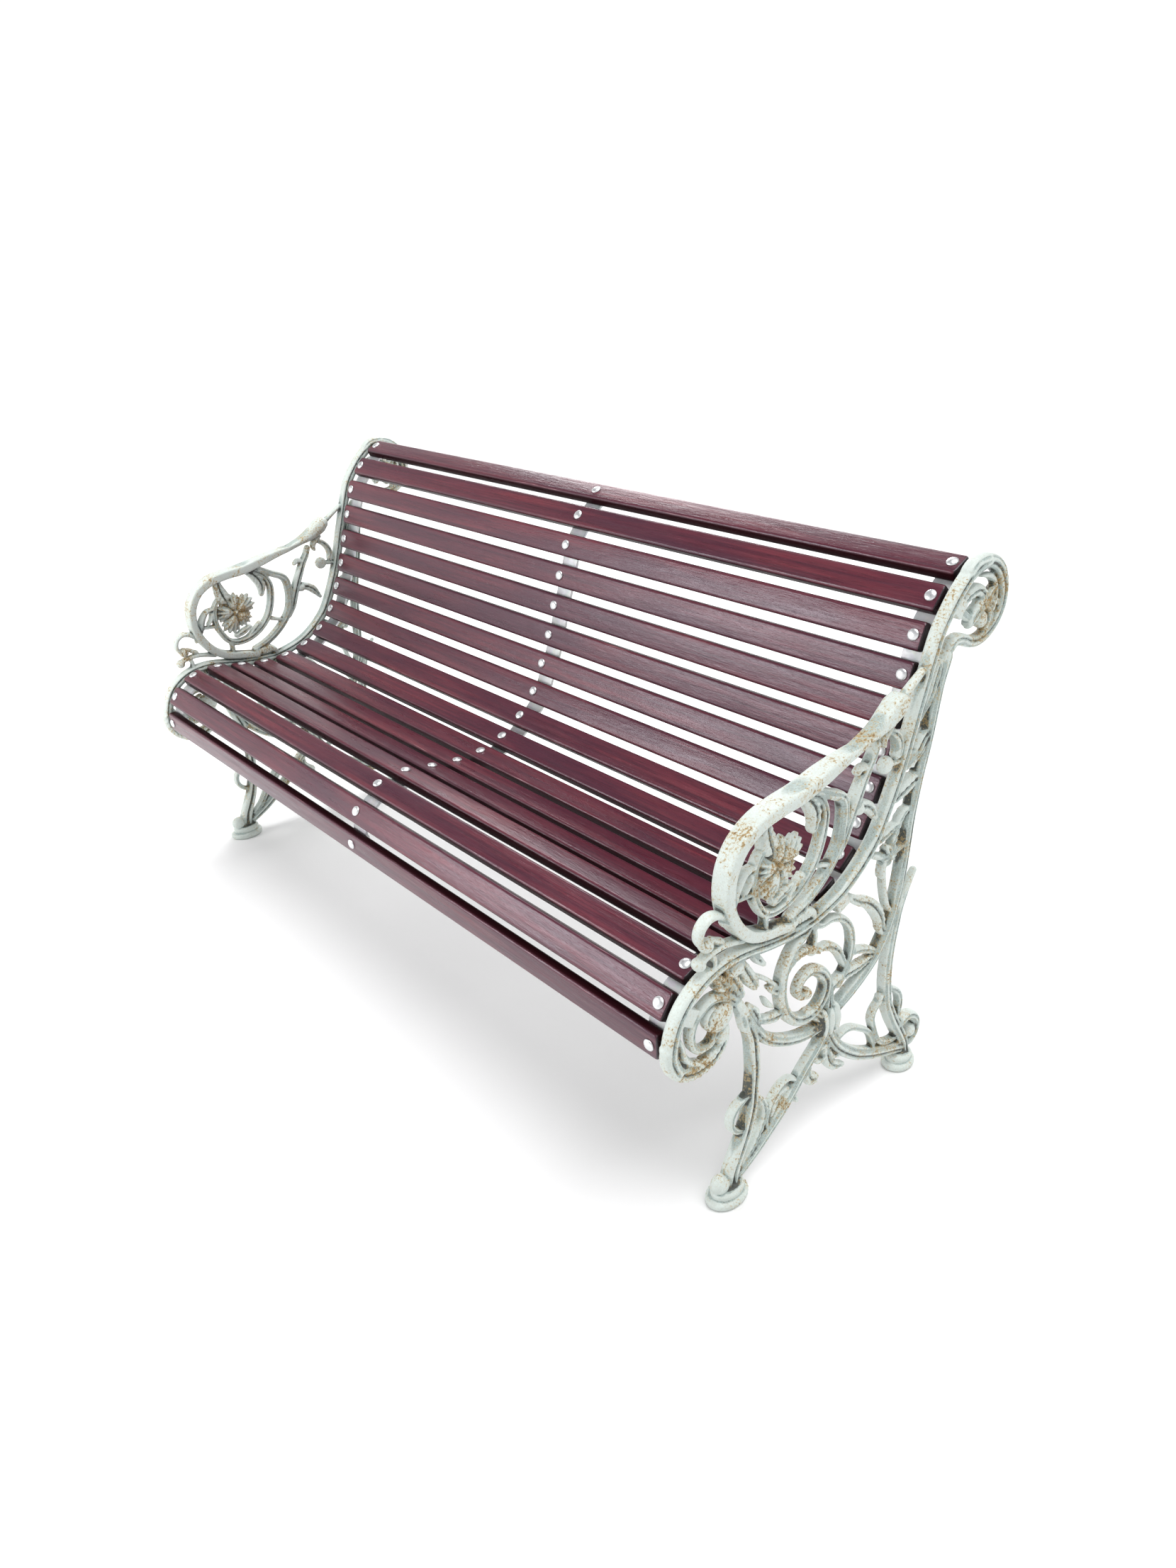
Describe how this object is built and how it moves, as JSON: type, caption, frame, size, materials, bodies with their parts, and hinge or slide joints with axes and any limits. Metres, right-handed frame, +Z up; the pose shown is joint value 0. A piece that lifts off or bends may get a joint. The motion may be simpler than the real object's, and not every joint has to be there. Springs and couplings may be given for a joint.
{
  "type": "garden bench",
  "caption": "Garden bench with scrolled cast-iron ends and a curved, slatted wooden seat and back, bolted to flat steel straps.",
  "frame": {"origin": "on the ground under the middle of the bench, at the bottom centre of its box", "axes": "+X along the bench to the right-hand end casting, +Y from the front edge to the back, +Z up"},
  "size_m": [1.5378, 0.6647, 0.8398],
  "materials": {
    "casting_paint": "aged pale green paint with rust spots",
    "slat_wood": "semi-gloss oxblood stain with worn edges",
    "strap_steel": "galvanised",
    "bolt_zinc": "bright zinc plate"
  },
  "bodies": {
    "root": {"right_casting": "casting_paint", "left_casting": "casting_paint", "right_strap": "strap_steel", "left_strap": "strap_steel", "middle_strap": "strap_steel", "slat_01": "slat_wood", "slat_02": "slat_wood", "slat_03": "slat_wood", "slat_04": "slat_wood", "slat_05": "slat_wood", "slat_06": "slat_wood", "slat_07": "slat_wood", "slat_08": "slat_wood", "slat_09": "slat_wood", "slat_10": "slat_wood", "slat_11": "slat_wood", "slat_12": "slat_wood", "slat_13": "slat_wood", "slat_14": "slat_wood", "slat_15": "slat_wood", "slat_16": "slat_wood", "slat_17": "slat_wood", "right_bolt_01": "bolt_zinc", "right_bolt_02": "bolt_zinc", "right_bolt_03": "bolt_zinc", "right_bolt_04": "bolt_zinc", "right_bolt_05": "bolt_zinc", "right_bolt_06": "bolt_zinc", "right_bolt_07": "bolt_zinc", "right_bolt_08": "bolt_zinc", "right_bolt_09": "bolt_zinc", "right_bolt_10": "bolt_zinc", "right_bolt_11": "bolt_zinc", "right_bolt_12": "bolt_zinc", "right_bolt_13": "bolt_zinc", "right_bolt_14": "bolt_zinc", "right_bolt_15": "bolt_zinc", "right_bolt_16": "bolt_zinc", "right_bolt_17": "bolt_zinc", "left_bolt_01": "bolt_zinc", "left_bolt_02": "bolt_zinc", "left_bolt_03": "bolt_zinc", "left_bolt_04": "bolt_zinc", "left_bolt_05": "bolt_zinc", "left_bolt_06": "bolt_zinc", "left_bolt_07": "bolt_zinc", "left_bolt_08": "bolt_zinc", "left_bolt_09": "bolt_zinc", "left_bolt_10": "bolt_zinc", "left_bolt_11": "bolt_zinc", "left_bolt_12": "bolt_zinc", "left_bolt_13": "bolt_zinc", "left_bolt_14": "bolt_zinc", "left_bolt_15": "bolt_zinc", "left_bolt_16": "bolt_zinc", "left_bolt_17": "bolt_zinc"}
  },
  "joints": []
}
